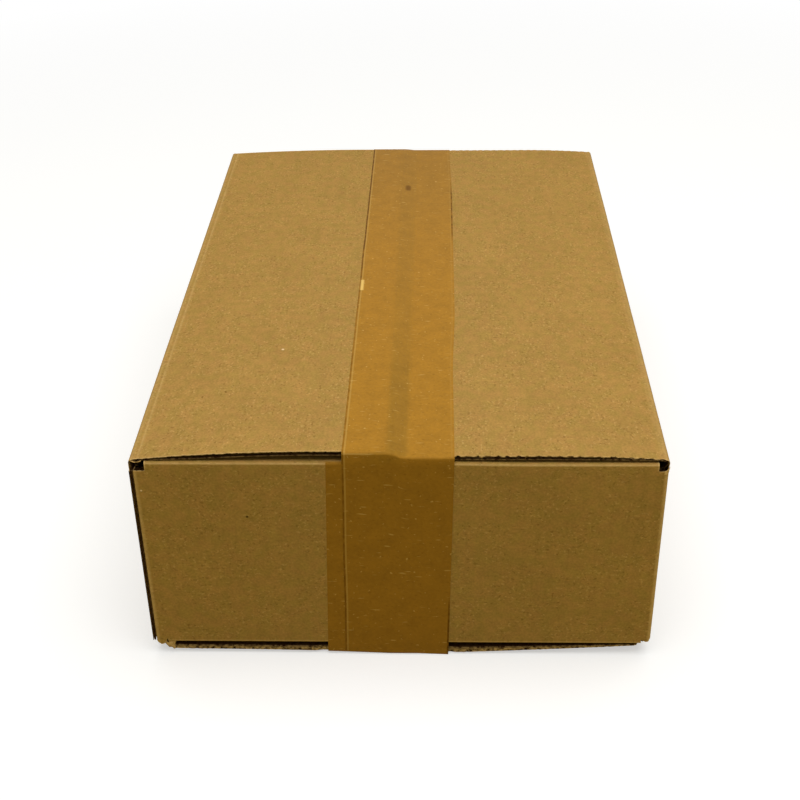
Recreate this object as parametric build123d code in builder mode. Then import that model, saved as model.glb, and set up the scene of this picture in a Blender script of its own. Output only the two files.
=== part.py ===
from build123d import *
from math import sqrt
import os

# Taped parcel: a slotted carton folded from one sheet of corrugated board, closed by two
# strips of packing tape. Millimetres, +Z up. The origin is on the surface that the parcel
# rests on, under the middle of the carton. +X runs across the front end panel and +Y from
# the front end to the back.

# Board
board = 3.0                 # single-wall board, B flute
liner = 0.4                 # facing paper on each side of the fluting
flute_recess = 1.2          # how far the fluting stands back from a cut edge

# Carton, inside the folded panels
inside_width = 229.0        # between the two long side panels
inside_length = 349.6       # between the two end panels
side_height = 107.4         # long side panel, from fold to fold, outside
seam_gap = 9.5              # open seam between the two long flaps

# Folds
top_fold_radius = 2.0       # outside radius where a long top flap leaves its side panel
bottom_fold_radius = 5.5    # the same at the bottom, rounded by the load
end_fold_radius = 2.0       # outside radius where a short flap leaves its end panel
corner_radius = 2.5         # outside radius of the scored upright corners
crease_radius = 0.5         # inside radius of a tight crease
front_fold_drop = 0.8       # front top short flap's fold, below the long flaps' folds
back_fold_drop = 2.2        # back top short flap's fold, below the long flaps' folds

# Swelling of the closed flaps: rise above the fold, and run until the flap is level
left_rise_front = 4.4
left_rise_back = 2.4
left_run = 85.0
right_rise_front = 2.4
right_rise_back = 1.7
right_run = 45.0
bottom_sag = 3.9
bottom_run = 80.0

# Slots between the flaps
joint_slot = 7.2            # from the outside of the left panel, at the glued front corner
corner_slot = 4.8           # from the outside of a side panel, at the three scored corners
slot_overcut = 5.5          # the slots run this far past the long flaps' folds
flap_setback = 1.0          # ends of the long flaps, behind the outside of the end panels
lay_gap = 0.2               # air between two flaps that lie on each other

# Glued joint at the front left corner
glue_tab = 38.0             # tab on the inside of the left panel, from the front
joint_edge = 1.9            # left panel's cut edge, where the joint is pressed
joint_taper = 14.0          # length over which it thickens to the full board
joint_slit = 0.3            # open line between the cut edge and the front panel's fold
joint_slit_depth = 6.0      # as far in as the glue reaches

# Packing tape
tape = 0.08                 # film and adhesive
tape_width = 49.2           # as measured at this scale, between the sold widths 48 and 50
top_tape_middle = 0.5       # centre line over the top seam
top_tape_lean = -2.2        # sideways drift of the front tail, down to its end
top_tape_end = 0.5          # height of the front tail's end
top_tape_back_tail = 72.0   # tail down the back end panel, from the flaps
bottom_tape_middle = -9.9   # centre line over the bottom seam
bottom_tape_lean = 3.3      # sideways drift of the front tail, up to its end
bottom_tape_end_drop = 1.6  # front tail's end, below the front short flap's fold
bottom_tape_back_tail = 58.0

# Places that follow from the sizes
half_width = inside_width / 2 + board
half_length = inside_length / 2 + board
flap_length = half_width - seam_gap / 2
flap_end = half_length - flap_setback
bottom_fold = tape + bottom_sag
top_fold = bottom_fold + side_height
front_fold = top_fold - front_fold_drop
back_fold = top_fold - back_fold_drop
lower_end_fold = bottom_fold + board
wall_bottom = bottom_fold + max(slot_overcut, bottom_fold_radius)
wall_top = top_fold - slot_overcut
short_flap_right = half_width - corner_slot
short_flap_left = {-1: -half_width + joint_slot, 1: -half_width + corner_slot}


def bow(rise, run, inward, depth):
    """Height above the fold of a layer that lies this deep in a flap's bow."""
    radius = (run**2 + rise**2) / (2 * rise)
    return rise - radius + sqrt((radius - depth) ** 2 - (run - inward) ** 2)


def bow_band(place, rise, run, start, end, outer_depth, inner_depth):
    """Outline of a bowed strip of board, from start to end inward, between two depths."""

    def on_bow(inward, depth):
        return place(inward, bow(rise, run, inward, depth))

    middle = (start + run) / 2
    with BuildLine() as outline:
        ThreePointArc(
            on_bow(start, outer_depth), on_bow(middle, outer_depth), place(run, rise - outer_depth)
        )
        Polyline(
            place(run, rise - outer_depth),
            place(end, rise - outer_depth),
            place(end, rise - inner_depth),
            place(run, rise - inner_depth),
        )
        ThreePointArc(
            place(run, rise - inner_depth), on_bow(middle, inner_depth), on_bow(start, inner_depth)
        )
        Line(on_bow(start, inner_depth), on_bow(start, outer_depth))
    return outline.line


def long_flap(plane_y, side, fold, up, rise, run, leg, fold_radius):
    """Section of a long flap: the edge of its side panel, the fold, the bow and the level end."""

    def place(inward, height):
        return (side * (half_width - inward), fold + up * height)

    inner_corner = place(board, bow(rise, run, board, board))
    with BuildSketch(Plane.XZ.offset(-plane_y)) as section:
        make_face(bow_band(place, rise, run, 0, flap_length, 0, board).edges())
        with BuildLine():
            Polyline(place(0, -leg), place(0, 0), inner_corner, place(board, -leg), close=True)
        make_face()
        outer = section.vertices().sort_by_distance(place(0, 0))[0]
        inner = section.vertices().sort_by_distance(inner_corner)[0]
        fillet(outer, fold_radius)
        fillet(inner, max(crease_radius, fold_radius - board))
    return section.sketch


def flute_channel(plane_y, side, fold, up, rise, run, pressed_to):
    """Section of the open channel in a long flap's cut end, down to the facing underneath."""

    def place(inward, height):
        return (side * (half_width - inward), fold + up * height)

    with BuildSketch(Plane.XZ.offset(-plane_y)) as section:
        channel = bow_band(place, rise, run, board, flap_length - liner, liner, board - liner)
        make_face(channel.edges())
        with Locations((0, pressed_to + up * liner)):
            beyond = Align.MAX if up > 0 else Align.MIN
            Rectangle(2 * half_width, side_height, align=(Align.CENTER, beyond), mode=Mode.SUBTRACT)
    return section.sketch


def short_flap(end, fold, up, leg):
    """Section of a short flap: the edge of its end panel, the fold and the level flap."""

    def place(inward, height):
        return (end * (half_length - inward), fold + up * height)

    with BuildSketch(Plane.YZ.offset(short_flap_left[end])) as section:
        with BuildLine():
            Polyline(
                place(0, -leg),
                place(0, 0),
                place(flap_length, 0),
                place(flap_length, -board),
                place(board, -board),
                place(board, -leg),
                close=True,
            )
        make_face()
        outer = section.vertices().sort_by_distance(place(0, 0))[0]
        inner = section.vertices().sort_by_distance(place(board, -board))[0]
        fillet(outer, end_fold_radius)
        fillet(inner, crease_radius)
    return section.sketch


# Long top flaps: drawn at the front and back edge, because the parcel swells more in front.
# Each is pressed flat from below where it lies on a short flap, and its cut ends show the
# channel between the two facings.
back_y = Vector(0, 1, 0)
top_swell = {
    -1: (left_rise_front, left_rise_back, left_run),
    1: (right_rise_front, right_rise_back, right_run),
}
top_flaps = []
for side in (-1, 1):
    rise_front, rise_back, run = top_swell[side]
    ends = ((-1, rise_front, front_fold + lay_gap), (1, rise_back, back_fold + lay_gap))
    with BuildPart() as top_flap:
        sections = [
            long_flap(
                end * flap_end, side, top_fold, 1, rise, run, top_fold - wall_top, top_fold_radius
            )
            for end, rise, _ in ends
        ]
        loft(sections=sections, ruled=True)
        for end, rise, pressed_to in ends:
            press_x = (short_flap_left[end] + short_flap_right) / 2
            with Locations((press_x, end * half_length, pressed_to)):
                Box(
                    short_flap_right - short_flap_left[end] + 2 * lay_gap,
                    2 * (flap_length + lay_gap),
                    2 * board,
                    align=(Align.CENTER, Align.CENTER, Align.MAX),
                    mode=Mode.SUBTRACT,
                )
            channel = flute_channel(end * flap_end, side, top_fold, 1, rise, run, pressed_to)
            extrude(channel, amount=flute_recess, dir=-end * back_y, mode=Mode.SUBTRACT)
    top_flaps.append(top_flap.part)

# Long bottom flaps: the same section from end to end, level where the parcel rests on them.
bottom_flaps = []
for side in (-1, 1):
    with BuildPart() as bottom_flap:
        section = long_flap(
            -flap_end,
            side,
            bottom_fold,
            -1,
            bottom_sag,
            bottom_run,
            wall_bottom - bottom_fold,
            bottom_fold_radius,
        )
        extrude(section, amount=2 * flap_end, dir=back_y)
        for end in (-1, 1):
            channel = flute_channel(
                end * flap_end, side, bottom_fold, -1, bottom_sag, bottom_run, lower_end_fold
            )
            extrude(channel, amount=flute_recess, dir=-end * back_y, mode=Mode.SUBTRACT)
    bottom_flaps.append(bottom_flap.part)

# Carton: the ring of panels with its glued joint, then the flaps on their folds.
with BuildPart() as carton:
    with BuildSketch(Plane.XY.offset(wall_bottom)) as ring:
        Rectangle(2 * half_width, 2 * half_length)
        joint_corner = (-half_width, -half_length)
        fillet(ring.vertices().sort_by_distance(joint_corner)[1:], corner_radius)
        Rectangle(inside_width, inside_length, mode=Mode.SUBTRACT)
        with Locations((-inside_width / 2, -half_length)):
            Rectangle(board, glue_tab, align=(Align.MIN, Align.MIN))
        edge_x = -half_width + joint_edge
        taper = (board - joint_edge) * joint_slit_depth / joint_taper
        with BuildLine():
            Polyline(
                (edge_x, -half_length),
                (edge_x + taper, -half_length + joint_slit_depth),
                (edge_x + taper + joint_slit, -half_length + joint_slit_depth),
                (edge_x + joint_slit, -half_length),
                close=True,
            )
        make_face(mode=Mode.SUBTRACT)
        front_corner = ring.vertices().sort_by_distance((edge_x + joint_slit, -half_length))[0]
        fillet(front_corner, end_fold_radius)
        with Locations((-half_width + joint_edge / 2, -half_length)):
            Rectangle(
                joint_edge - 2 * liner,
                flute_recess,
                align=(Align.CENTER, Align.MIN),
                mode=Mode.SUBTRACT,
            )
    extrude(amount=wall_top - wall_bottom)
    for end, fold in ((-1, front_fold), (1, back_fold)):
        upper = short_flap(end, fold, 1, fold - wall_top)
        lower = short_flap(end, lower_end_fold, -1, wall_bottom - lower_end_fold)
        extrude(upper, amount=short_flap_right - short_flap_left[end], dir=(1, 0, 0))
        extrude(lower, amount=short_flap_right - short_flap_left[end], dir=(1, 0, 0))
    add(top_flaps)
    add(bottom_flaps)
carton.part.label = "carton"

# Top strip: a band over both long flaps that bridges their seam, and a tail down each end.
# Its front tail lies on the tail of the bottom strip.
top_left = top_tape_middle - tape_width / 2
top_right = top_tape_middle + tape_width / 2


def seam_line(left_level, right_level):
    """Points of the strip's underside across the two flaps and the seam between them."""
    return [
        (top_left, left_level),
        (-seam_gap / 2, left_level),
        (seam_gap / 2, right_level),
        (top_right, right_level),
    ]


def seam_band(plane_y, left_level, right_level):
    """Section of the strip where it lies on the flaps."""
    under = seam_line(left_level, right_level)
    over = seam_line(left_level + tape, right_level + tape)
    with BuildSketch(Plane.XZ.offset(-plane_y)) as section:
        with BuildLine():
            Polyline(*under, *reversed(over), close=True)
        make_face()
    return section.sketch


def flap_level(side, end, beyond):
    """Height of a long flap's level part, carried on past its front or back edge."""
    rise_front, rise_back, _ = top_swell[side]
    slope = (rise_back - rise_front) / (2 * flap_end)
    middle = (rise_front + rise_back) / 2
    return top_fold + middle + end * slope * (flap_end + beyond)


tail_face = half_length + tape
tail_reach = tail_face - flap_end
with BuildPart() as top_tape:
    front_levels = (flap_level(-1, -1, tail_reach), flap_level(1, -1, tail_reach))
    back_levels = (flap_level(-1, 1, tail_reach), flap_level(1, 1, tail_reach))
    loft(
        sections=[seam_band(-tail_face, *front_levels), seam_band(tail_face, *back_levels)],
        ruled=True,
    )
    tails = (
        (-1, front_levels, top_tape_lean, top_tape_end),
        (1, back_levels, 0, top_fold - top_tape_back_tail),
    )
    for end, levels, lean, tail_end in tails:
        with BuildSketch(Plane.XZ.offset(-end * tail_face)) as tail:
            with BuildLine():
                Polyline(
                    *seam_line(levels[0] + tape, levels[1] + tape),
                    (top_right + lean, tail_end),
                    (top_left + lean, tail_end),
                    close=True,
                )
            make_face()
        extrude(tail.sketch, amount=tape, dir=end * back_y)
top_tape.part.label = "top_tape"

# Bottom strip: flat under the seam, with a tail up each end panel.
bottom_left = bottom_tape_middle - tape_width / 2
bottom_right = bottom_tape_middle + tape_width / 2
with BuildPart() as bottom_tape:
    with BuildSketch(Plane.XY) as under_strip:
        with Locations((bottom_tape_middle, 0)):
            Rectangle(tape_width, 2 * tail_face)
    extrude(amount=tape)
    tails = (
        (-1, bottom_tape_lean, front_fold - bottom_tape_end_drop),
        (1, 0, bottom_tape_back_tail),
    )
    for end, lean, tail_end in tails:
        with BuildSketch(Plane.XZ.offset(-end * half_length)) as tail:
            with BuildLine():
                Polyline(
                    (bottom_left, 0),
                    (bottom_right, 0),
                    (bottom_right + lean, tail_end),
                    (bottom_left + lean, tail_end),
                    close=True,
                )
            make_face()
        extrude(tail.sketch, amount=tape, dir=end * back_y)
bottom_tape.part.label = "bottom_tape"

os.makedirs("parts", exist_ok=True)
export_step(carton.part, "parts/carton.step")
export_step(top_tape.part, "parts/top_tape.step")
export_step(bottom_tape.part, "parts/bottom_tape.step")
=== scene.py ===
"""The looks of a taped parcel: a closed carton of corrugated board with brown packing tape.

The carton is one sheet of board. It is drawn as its flat blank, a grid of columns along the row of
panels and rows from flap edge to flap edge, and each layer of the board folds that grid up at its
own depth. The strips of tape follow the folded flaps. Lengths are in metres.
"""

from collections import namedtuple
from math import asin, atan, copysign, cos, degrees, exp, pi, radians, sin, sqrt, tan

import bmesh
import bpy
from bpy.props import FloatProperty, FloatVectorProperty, PointerProperty
from mathutils import Matrix, Vector, noise


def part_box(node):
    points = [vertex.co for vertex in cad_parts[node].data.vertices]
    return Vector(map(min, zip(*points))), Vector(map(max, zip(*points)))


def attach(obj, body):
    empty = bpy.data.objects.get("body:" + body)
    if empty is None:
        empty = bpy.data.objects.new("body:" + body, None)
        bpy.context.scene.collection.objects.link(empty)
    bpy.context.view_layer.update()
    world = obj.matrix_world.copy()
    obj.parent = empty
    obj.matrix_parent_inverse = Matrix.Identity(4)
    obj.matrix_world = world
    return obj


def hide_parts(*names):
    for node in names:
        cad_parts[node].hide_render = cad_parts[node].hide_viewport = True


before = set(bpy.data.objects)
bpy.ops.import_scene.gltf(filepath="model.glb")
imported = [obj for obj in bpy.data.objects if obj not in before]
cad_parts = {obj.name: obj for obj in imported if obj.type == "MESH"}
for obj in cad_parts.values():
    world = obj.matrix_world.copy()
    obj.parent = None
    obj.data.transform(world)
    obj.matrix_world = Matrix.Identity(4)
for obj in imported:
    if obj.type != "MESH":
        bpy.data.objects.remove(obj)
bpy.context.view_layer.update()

bl_info = {
    "name": "Taped Parcel",
    "version": (1, 0, 0),
    "blender": (4, 5, 0),
    "location": "View3D > Sidebar > Parcel",
    "description": "Builds a corrugated carton closed with packing tape",
    "category": "Add Mesh",
}

MM = 0.001
TINY = 0.01 * MM
FLUTE_PITCH = 6.4 * MM
SHARP_ANGLE = radians(40)
FRAYED_ELSEWHERE = 0.05

carton_low, carton_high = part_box("carton")
HALF_WIDTH = (carton_high.x - carton_low.x) / 2
HALF_LENGTH = (carton_high.y - carton_low.y) / 2


def linear(hex_colour):
    """Linear colour of an sRGB hex value such as AF8848."""
    shares = [int(hex_colour[i : i + 2], 16) / 255 for i in (0, 2, 4)]
    return [c / 12.92 if c <= 0.04045 else ((c + 0.055) / 1.055) ** 2.4 for c in shares]


def length(name, description, default):
    """A size that shows in Blender's length unit."""
    return FloatProperty(
        name=name, description=description, default=default, min=0, unit="LENGTH", precision=4
    )


def colour(name, description, hex_colour):
    """A colour given as an sRGB hex value."""
    return FloatVectorProperty(
        name=name, description=description, default=linear(hex_colour), subtype="COLOR", size=3
    )


class CartonSizes(bpy.types.PropertyGroup):
    """Sizes of the board and of its folds."""

    board: length("Board", "Thickness of the single-wall board", 3.0 * MM)
    liner: length("Facing", "Thickness of the paper on each side of the fluting", 0.4 * MM)
    flute_pitch: length("Flute pitch", "From one wave of the fluting to the next", FLUTE_PITCH)
    side_height: length("Side height", "Side panel, from fold to fold", 107.4 * MM)
    bottom_fold: length("Bottom fold", "Height of the side panels' lower folds", 3.98 * MM)
    front_fold_drop: length("Front fold drop", "Front flap's fold below the side folds", 0.8 * MM)
    back_fold_drop: length("Back fold drop", "Back flap's fold below the side folds", 2.2 * MM)
    seam_gap: length("Seam", "Open seam between the two long flaps", 9.5 * MM)
    joint_slot: length("Joint slot", "Slot at the glued corner", 7.2 * MM)
    corner_slot: length("Corner slot", "Slot at the scored corners", 4.8 * MM)
    overcut: length("Slot overcut", "How far the slots run past the long folds", 5.5 * MM)
    setback: length("Flap setback", "Ends of the long flaps behind the end panels", 1.0 * MM)
    top_radius: length("Top fold radius", "Outside radius of the long top folds", 2.0 * MM)
    bottom_radius: length("Bottom fold radius", "The same at the bottom", 5.5 * MM)
    end_radius: length("End fold radius", "Outside radius of the short flaps' folds", 1.5 * MM)
    corner_radius: length("Corner radius", "Outside radius of the upright corners", 2.5 * MM)
    waver: length("Waver", "How deep the faces sink between their high spots", 0.3 * MM)
    ragged: length("Ragged edge", "How far the cut facings are torn back", 0.55 * MM)
    scallop: length("Scallop", "Depth of the bites along the right flap's lip", 0.7 * MM)


class TapeSizes(bpy.types.PropertyGroup):
    """Sizes of the two strips of tape."""

    width: length("Width", "Width of the tape", 49.2 * MM)
    film: length("Film", "Thickness of the film and its adhesive", 0.08 * MM)
    bend: length("Bend", "Radius of the tape over the edges of the flaps", 1.1 * MM)
    back_tail: length("Top back tail", "Top strip's tail down the back", 72.0 * MM)
    bottom_back_tail: length("Bottom back tail", "Bottom strip's tail up the back", 58.0 * MM)


class ParcelColours(bpy.types.PropertyGroup):
    """Colours of the paper, the tape and the floor."""

    kraft: colour("Kraft", "Golden patches of the outer facing", "B48A4A")
    olive: colour("Olive kraft", "Duller patches of the outer facing", "AD8A46")
    bark: colour("Bark", "Dark flecks in the outer facing", "6A4819")
    straw: colour("Straw", "Pale flecks in the outer facing", "DDB670")
    # pale paper of scuffs and torn tufts, and painted highlight on folds, lips and cut edges
    scuff: colour("Scuff", "Creased, torn and scuffed paper", "E4BE7E")
    # near black: painted shade of the recesses between the facings and of the inside of the carton
    fluting: colour("Fluting", "Paper of the waves and of cut edges", "341C0D")
    tape: colour("Tape", "Tape over board", "AE7C27")
    # painted shade of the dark gap seen through the film, and of the back of the top
    seam: colour("Seam", "Tape where it bridges a gap", "9F7425")
    # painted shade: darker tape on the upright tails and towards the back of the top
    pressed: colour("Pressed tape", "Tape that is pressed down hard", "A27323")
    sheen: colour("Sheen", "Bright creases and edges of the tape", "E0B868")
    # painted shadow along the tape's edges, and the colour of its dark stains
    stain_and_shadow: colour("Grime", "Adhesive along the tape's edges", "6C4600")
    floor: colour("Floor", "Floor as the camera sees it", "D6D6D6")
    room: colour("Room light", "Tint of the light from all round", "FFFBE7")
    window: colour("Front light", "Tint of the weak light from the front", "FFF9C3")
    bounce: colour("Bounce", "Floor as it lights the parcel from below", "A4961A")


def smooth(low, high, value):
    """0 below low, 1 above high, and an even ease between them."""
    share = min(1.0, max(0.0, (value - low) / (high - low)))
    return share * share * (3 - 2 * share)


def between(start, end, share):
    """The value this share of the way from start to end."""
    return start + (end - start) * share


def spaced(start, end, step):
    """Evenly spaced places from start to end, about a step apart."""
    count = max(1, round(abs(end - start) / step))
    return [between(start, end, i / count) for i in range(count + 1)]


def ripple(place, size, seed):
    """Smooth noise, mostly from -1 to 1, whose bumps are about this size."""
    return noise.noise(Vector(place) / size + Vector((0, 0, seed)))


Column = namedtuple("Column", "panel across corner flap edge u")
Row = namedtuple("Row", "part value v up")
Flap = namedtuple("Flap", "fold up bow radius leg")
SIDE_OF = {"front": -1, "back": 1, "left": -1, "right": 1}


class Blank:
    """The carton's flat sheet, and the place that each of its points folds to.

    A column is a line across the row of panels and a row is a line along it. Each layer of the
    board is this grid at a depth under the outer face.
    """

    # rise at the front edge, rise at the back edge, and run until the flap is level
    SWELL = {"left": (4.4 * MM, 2.4 * MM, 85 * MM), "right": (1.9 * MM, 1.7 * MM, 45 * MM)}
    # the left panel's glued edge: its thickness, the run that thins to it, and the slit behind it
    JOINT_EDGE, JOINT_TAPER, JOINT_SLIT = 1.3 * MM, 14 * MM, 0.3 * MM
    TAB_RADIUS, TAB_TURNS = 0.8 * MM, (180, 205, 230, 250, 270)
    GLUE_TAB, TAB_STEP = 38 * MM, 8 * MM
    # columns and rows next to the cut ends of the flaps and the ends of the slots
    END_LIP, SLOT_LIP = 0.8 * MM, 0.7 * MM
    WALL_STEP = 6 * MM
    TURNS = (0, 0.2, 0.4, 0.6, 0.8, 1)
    # in millimetres on the flat sheet, at the bottom and the top: half of a fold, the row between
    # a fold and a slot's end, and the first of the evenly spaced rows past a fold
    BENDS, NECKS, FIRST_ROWS = (5.1, 1.8), (5.3, -3.6), (6.5, 6.4)
    # the same for rows that are close together over the score lines of the top flaps
    SCORED = (2.7, 3.2, 3.6, 4.0, 4.5, 5.2)
    # gap between flaps that lie on each other, and least radius inside a fold and a corner
    LAY_GAP, CREASE, CORNER_CREASE = 0.2 * MM, 0.5 * MM, 0.1 * MM
    # deeper layers of a flap lie further inward at its fold. From here that evens out over the run
    SHIFTED, SHIFTED_RUN = 2.2 * MM, 8 * MM
    # a flap leaves its fold at the slope of its first part, which is this long
    FIRST_PART = 2 * MM
    LEAST_SINK = 0.04 * MM
    # share, size and seed of each of the swells that the faces sink between
    SWELLS = ((0.65, 85 * MM, 3.1), (0.35, 28 * MM, 7.7))
    # sizes of the fine and the coarse teeth of a torn edge
    FINE, COARSE = 1.3 * MM, 9 * MM
    # share of the board's thickness that is left at the cut ends of the long top flaps
    PINCHED, PINCHED_RUN = 0.78, (1 * MM, 14 * MM)
    # a flap is as thick at its fold as this far inward
    THICK_FROM = 4.5 * MM
    # share of its room under a short flap that a long bottom flap fills
    CRUSHED_SHARE = 0.5
    # a long flap gets thinner from this far before the end of a short one to this far past it
    STEP_RUN = 8 * MM
    # how far in the second score line of each long top flap runs, how scuffed it is, and the
    # width of one side of it
    SCORE = {"left": (4.0 * MM, 0.28), "right": (3.2 * MM, 0.12)}
    SCORE_SIDE = 0.9 * MM
    # width of the paper along the glued edge with painted highlight on its tight bend
    GLUED_EDGE = 3 * MM
    # where the cut-back corners of the long bottom flaps start and end, and how far back they are
    CORNER_CUT = {"left": (4.5 * MM, 9.5 * MM), "right": (3.5 * MM, 7.0 * MM)}
    CUT_BACK = 7 * MM
    # the long bottom flaps stick out further where the tape doesn't hold them
    FREE_RUN = {"left": 76 * MM, "right": 90 * MM}
    FREE_REACH, FREE_EASE = 0.7 * MM, 5 * MM
    # both fade out over this run from the flap's end
    TRIMMED_RUN = 20 * MM
    LOWER_END_RADIUS = 1.0 * MM
    # how far the front short flap's fold drops to the right, over this run from the middle
    FRONT_TILT, TILT_RUN = 0.7 * MM, 60 * MM
    # the long bottom flaps lie this high at the seam, on the tape, and rise towards their folds
    REST = 0.08 * MM
    LEFT_RISE, LEFT_CURL, CURL_RUN = 2.2 * MM, 1.4 * MM, 5 * MM
    RIGHT_RISE = 5.9 * MM
    # shares of a crushed flap's thickness that its facings take, and how far from its end that
    # starts and stops to fade
    OUTER_BUNCHED, INNER_BUNCHED = 0.68, 0.2
    CRUSHED = (8 * MM, 16 * MM)
    # torn paper that hangs from the right top flap's lip: its depth, and how long each bit is
    HANGING, HANGING_RUN = 1.6 * MM, 2.6 * MM
    # the right top flap's lip is bitten about once in this length
    BITE_PITCH = 4.4 * MM
    # the lower corners of the walls hang below the ends of the front slots. The pull on them
    # fades out over this run upward, and they do so only this near to the front
    RIGHT_HEM, LEFT_HEM, HEM_RUN = 1.2 * MM, 1.3 * MM, 10 * MM
    HEM_REACH = 6 * MM
    # steps of the crumpled left hem in millimetres: from where to where in x, and how far down
    HEM_STEPS = ((-116.6, -113.8, 2.8), (-113.4, -111, -1))
    # columns that the steps need
    HEM_COLUMNS = (-113.6 * MM, -112 * MM)

    def __init__(self, sizes):
        self.sizes = sizes
        self.flap_length = HALF_WIDTH - sizes.seam_gap / 2
        self.flap_end = HALF_LENGTH - sizes.setback
        self.top_fold = sizes.bottom_fold + sizes.side_height
        self.end_fold = {
            "front": self.top_fold - sizes.front_fold_drop,
            "back": self.top_fold - sizes.back_fold_drop,
        }
        self.under_fold = sizes.bottom_fold + sizes.board
        self.wall_bottom = sizes.bottom_fold + sizes.overcut
        self.wall_top = self.top_fold - sizes.overcut
        self.tab_fold_x = HALF_WIDTH - self.JOINT_EDGE - self.JOINT_SLIT

    def wall_thickness(self, panel, across):
        """Thickness of a wall. The left one is pressed thin towards its glued edge."""
        if panel != "left":
            return self.sizes.board
        share = (across + HALF_LENGTH) / self.JOINT_TAPER
        return between(self.JOINT_EDGE, self.sizes.board, min(1.0, share))

    def place(self, panel, across, inward):
        """Place in plan of a point this far inward from a panel's outer face."""
        if panel == "tab":
            slit = self.JOINT_SLIT * (1 - smooth(0, self.JOINT_TAPER, across + HALF_LENGTH))
            return -HALF_WIDTH + self.wall_thickness("left", across) + slit + inward, across
        side = SIDE_OF[panel]
        if panel in ("front", "back"):
            return across, side * (HALF_LENGTH - inward)
        return side * (HALF_WIDTH - inward), across

    def ring(self, column, depth):
        """Place in plan of a point of the walls."""
        if column.corner is None:
            return self.place(column.panel, column.across, depth)
        side, end, angle, radius, fold_x = column.corner
        radius = max(radius - depth, self.CORNER_CREASE)
        middle_x = side * (fold_x - depth - radius)
        middle_y = end * (HALF_LENGTH - depth - radius)
        return middle_x + radius * cos(angle), middle_y + radius * sin(angle)

    def under(self, panel, inward):
        """Height of the outer face of a long bottom flap. Both sink to the floor at the seam."""
        share = min(1.0, inward / self.flap_length)
        if panel == "left":
            curl = self.LEFT_CURL * exp(-inward / self.CURL_RUN)
            return self.REST + self.LEFT_RISE * (1 - share**2.5) + curl
        return self.REST + self.RIGHT_RISE * (1 - share) ** 1.3

    def flap(self, panel, up, across):
        """Fold of one flap at this place along it, and how far it bows out by the way inward."""
        sizes = self.sizes
        if panel in self.end_fold:
            fold, radius = self.under_fold, self.LOWER_END_RADIUS
            if up > 0:
                fold, radius = self.end_fold[panel], sizes.end_radius
                if panel == "front":
                    fold -= self.FRONT_TILT * smooth(0, self.TILT_RUN, across)
            leg = fold - self.wall_top if up > 0 else self.wall_bottom - fold
            return Flap(fold, up, lambda inward: 0, radius, leg)
        if up < 0:
            fold = self.under(panel, 0)
            leg = self.wall_bottom - fold
            radius = min(sizes.bottom_radius, leg)
            return Flap(fold, up, lambda inward: fold - self.under(panel, inward), radius, leg)
        front, back, run = self.SWELL[panel]
        rise = between(front, back, (across + self.flap_end) / (2 * self.flap_end))

        def bow(inward):
            return rise * (1 - max(0, 1 - inward / run) ** 2)

        return Flap(self.top_fold, up, bow, sizes.top_radius, sizes.overcut)

    def flap_thickness(self, panel, flap, across, inward):
        """Thickness of a flap. A long flap is pressed thin where it lies on a short one."""
        board = self.sizes.board
        if panel in ("front", "back"):
            return board
        face = flap.fold + flap.up * flap.bow(max(inward, self.THICK_FROM))
        end = "front" if across < 0 else "back"
        short_flap = self.end_fold[end] if flap.up > 0 else self.under_fold
        room = abs(face - short_flap) - self.LAY_GAP
        if flap.up < 0:
            room *= self.CRUSHED_SHARE
        short_end = HALF_LENGTH - self.flap_length
        over = smooth(short_end - self.STEP_RUN, short_end + self.STEP_RUN, abs(across))
        thick = between(board, min(board, room), over)
        if flap.up > 0:
            from_end = self.flap_end - abs(across)
            thick *= between(self.PINCHED, 1, smooth(*self.PINCHED_RUN, from_end))
        return thick

    def facing(self, thick, column, row, bunched):
        """Thickness of a facing. It bunches up to this share at the bottom flaps' ends."""
        liner = min(self.sizes.liner, thick / 3)
        if row.part != "flap":
            return liner
        if row.up > 0:
            if not column.edge or column.flap != "right":
                return liner
            hanging = max(0, ripple((row.v, 0, 0), self.HANGING_RUN, 90) - 0.1)
            return min(thick / 2, liner + self.HANGING * hanging)
        from_end = self.flap_end - abs(column.across)
        return between(bunched * thick, liner, smooth(*self.CRUSHED, from_end))

    def section(self, flap, row, depth):
        """How far inward and how far out a point of a flap is, from the corner at its fold."""
        if row.part == "flap":
            near_fold = max(0, 1 - (row.value - self.SHIFTED) / self.SHIFTED_RUN)
            inward = row.value + depth * near_fold
            return inward, flap.bow(inward) - depth
        turn = pi / 2 - atan(flap.bow(self.FIRST_PART) / self.FIRST_PART)
        radius = max(flap.radius - depth, self.CREASE)
        start = -depth - radius * tan(turn / 2)
        if row.part == "neck":
            return depth, between(-flap.leg, start, row.value)
        angle = row.value * turn
        return depth + radius * (1 - cos(angle)), start + radius * sin(angle)

    def sink(self, x, y, z):
        """How far a face lies under its high spots, at a place on the plain folded sheet."""
        swell = sum(share * ripple((x, y, z), size, seed) for share, size, seed in self.SWELLS)
        return self.LEAST_SINK + self.sizes.waver * (0.5 + 0.5 * swell)

    def tear(self, column, row, outer):
        """How far a cut facing is torn back at a place along its edge."""
        seed = 20 if outer else 40
        fine = ripple((row.v, 0, 0), self.FINE, seed)
        coarse = ripple((row.v, 0, 0), self.COARSE, seed + 5)
        torn = self.sizes.ragged * (0.5 + 0.35 * fine + 0.15 * coarse)
        if outer and column.flap == "right" and row.up > 0:
            bite = max(0, sin(2 * pi * row.v / self.BITE_PITCH + 4 * coarse))
            torn += self.sizes.scallop * bite * (1 + coarse)
        return torn

    def trimmed(self, panel, across, inward):
        """Place along the fold of a long bottom flap. Its corners are cut back."""
        if panel not in self.CORNER_CUT:
            return across
        run = self.FREE_RUN[panel]
        free = self.FREE_REACH * (1 - smooth(run, run + self.FREE_EASE, inward))
        cut = self.CUT_BACK * (1 - smooth(*self.CORNER_CUT[panel], inward))
        from_end = max(0, self.flap_end - abs(across))
        cut = (cut - free) * max(0, 1 - from_end / self.TRIMMED_RUN)
        return copysign(abs(across) - cut, across)

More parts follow.
